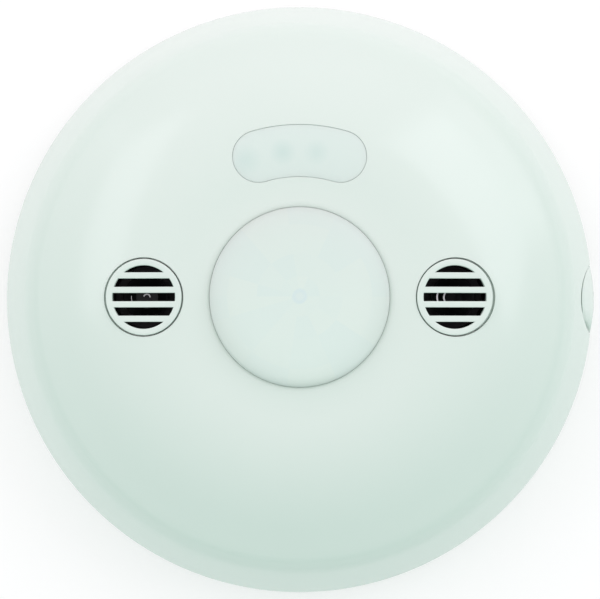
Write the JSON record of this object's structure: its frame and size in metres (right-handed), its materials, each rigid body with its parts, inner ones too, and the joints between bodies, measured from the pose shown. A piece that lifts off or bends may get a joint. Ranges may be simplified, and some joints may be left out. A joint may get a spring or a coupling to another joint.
{
  "type": "ceiling motion sensor",
  "caption": "Round ceiling occupancy sensor with a lens dome, two slotted ultrasonic grilles and a kidney-shaped lamp window, over a board with setting switches and trimmers.",
  "frame": {"origin": "centre of the flat back face that lies against the ceiling", "axes": "+Z out of the ceiling into the room, +Y towards the indicator window, +X towards the pry notch"},
  "size_m": [0.1147, 0.1142, 0.0366],
  "materials": {
    "cover_plastic": "satin moulded plastic, very pale green-white",
    "lens_plastic": "milky translucent plastic with faint lens facets",
    "window_plastic": "frosted translucent plastic",
    "black_plastic": "satin moulded plastic",
    "white_plastic": "satin moulded plastic",
    "blue_plastic": "satin moulded plastic",
    "red_plastic": "satin moulded plastic",
    "green_plastic": "satin moulded plastic",
    "lamp_plastic": "clear water-white epoxy",
    "sensor_face": "glazed cell face with a meander track",
    "rubber": "moulded rubber, matt",
    "board": "green solder mask over glass-fibre laminate",
    "steel": "nickel-plated, satin",
    "aluminium": "drawn can, satin",
    "dark_aluminium": "black anodised, satin",
    "copper": "enamelled copper wire",
    "infrared_window": "dark coated silicon, polished"
  },
  "bodies": {
    "base": {"back_housing": "cover_plastic", "lead_grommet": "rubber", "main_board": "board", "microcontroller": "black_plastic", "amplifier_chip": "black_plastic", "smoothing_capacitor": "aluminium", "supply_capacitor": "aluminium", "inductor": "copper", "relay": "black_plastic", "lead_socket": "white_plastic", "pyro_holder": "white_plastic", "pyro_can": "steel", "pyro_window": "infrared_window", "light_sensor": "sensor_face", "light_sensor_spacer": "black_plastic", "setting_switch_body": "red_plastic", "learn_button_body": "steel", "board_screw_1": "steel", "board_screw_2": "steel", "board_screw_3": "steel", "board_screw_4": "steel", "left_grille_cap": "cover_plastic", "left_transducer_can": "dark_aluminium", "left_transducer_cone": "dark_aluminium", "left_transducer_boot": "rubber", "right_grille_cap": "cover_plastic", "right_transducer_can": "dark_aluminium", "right_transducer_cone": "dark_aluminium", "right_transducer_boot": "rubber", "infrared_lamp": "lamp_plastic", "infrared_lamp_spacer": "black_plastic", "ultrasonic_lamp": "lamp_plastic", "ultrasonic_lamp_spacer": "black_plastic", "infrared_range_trimmer": "white_plastic", "ultrasonic_range_trimmer": "white_plastic", "time_delay_trimmer": "white_plastic", "light_level_trimmer": "white_plastic"},
    "cover": {"front_cover": "cover_plastic", "fresnel_lens": "lens_plastic", "lens_retainer": "black_plastic", "indicator_window": "window_plastic"},
    "infrared_range_dial": {"infrared_range_knob": "red_plastic"},
    "ultrasonic_range_dial": {"ultrasonic_range_knob": "green_plastic"},
    "time_delay_dial": {"time_delay_knob": "black_plastic"},
    "light_level_dial": {"light_level_knob": "blue_plastic"},
    "slider_1": {"setting_slider_1": "white_plastic"},
    "slider_2": {"setting_slider_2": "white_plastic"},
    "slider_3": {"setting_slider_3": "white_plastic"},
    "slider_4": {"setting_slider_4": "white_plastic"},
    "slider_5": {"setting_slider_5": "white_plastic"},
    "slider_6": {"setting_slider_6": "white_plastic"},
    "slider_7": {"setting_slider_7": "white_plastic"},
    "slider_8": {"setting_slider_8": "white_plastic"},
    "learn_button": {"learn_button_plunger": "black_plastic"}
  },
  "joints": [
    {"name": "cover_pull", "type": "slide", "parent": "base", "child": "cover", "axis": [0, 0, 1], "range_m": [0, 0.045]},
    {"name": "infrared_range_turn", "type": "hinge", "parent": "base", "child": "infrared_range_dial", "pos_m": [0.0102, -0.0236, 0.02], "axis": [0, 0, 1], "range_deg": [-135, 135]},
    {"name": "ultrasonic_range_turn", "type": "hinge", "parent": "base", "child": "ultrasonic_range_dial", "pos_m": [0.0198, -0.0236, 0.02], "axis": [0, 0, 1], "range_deg": [-135, 135]},
    {"name": "time_delay_turn", "type": "hinge", "parent": "base", "child": "time_delay_dial", "pos_m": [0.0102, -0.0332, 0.02], "axis": [0, 0, 1], "range_deg": [-135, 135]},
    {"name": "light_level_turn", "type": "hinge", "parent": "base", "child": "light_level_dial", "pos_m": [0.0198, -0.0332, 0.02], "axis": [0, 0, 1], "range_deg": [-135, 135]},
    {"name": "slider_1_slide", "type": "slide", "parent": "base", "child": "slider_1", "axis": [0, -1, 0], "range_m": [0, 0.0014]},
    {"name": "slider_2_slide", "type": "slide", "parent": "base", "child": "slider_2", "axis": [0, -1, 0], "range_m": [0, 0.0014]},
    {"name": "slider_3_slide", "type": "slide", "parent": "base", "child": "slider_3", "axis": [0, 1, 0], "range_m": [0, 0.0014]},
    {"name": "slider_4_slide", "type": "slide", "parent": "base", "child": "slider_4", "axis": [0, 1, 0], "range_m": [0, 0.0014]},
    {"name": "slider_5_slide", "type": "slide", "parent": "base", "child": "slider_5", "axis": [0, -1, 0], "range_m": [0, 0.0014]},
    {"name": "slider_6_slide", "type": "slide", "parent": "base", "child": "slider_6", "axis": [0, 1, 0], "range_m": [0, 0.0014]},
    {"name": "slider_7_slide", "type": "slide", "parent": "base", "child": "slider_7", "axis": [0, 1, 0], "range_m": [0, 0.0014]},
    {"name": "slider_8_slide", "type": "slide", "parent": "base", "child": "slider_8", "axis": [0, 1, 0], "range_m": [0, 0.0014]},
    {"name": "learn_press", "type": "slide", "parent": "base", "child": "learn_button", "axis": [0, 0, -1], "range_m": [0, 0.0005], "stiffness_N_per_m": 3000}
  ]
}
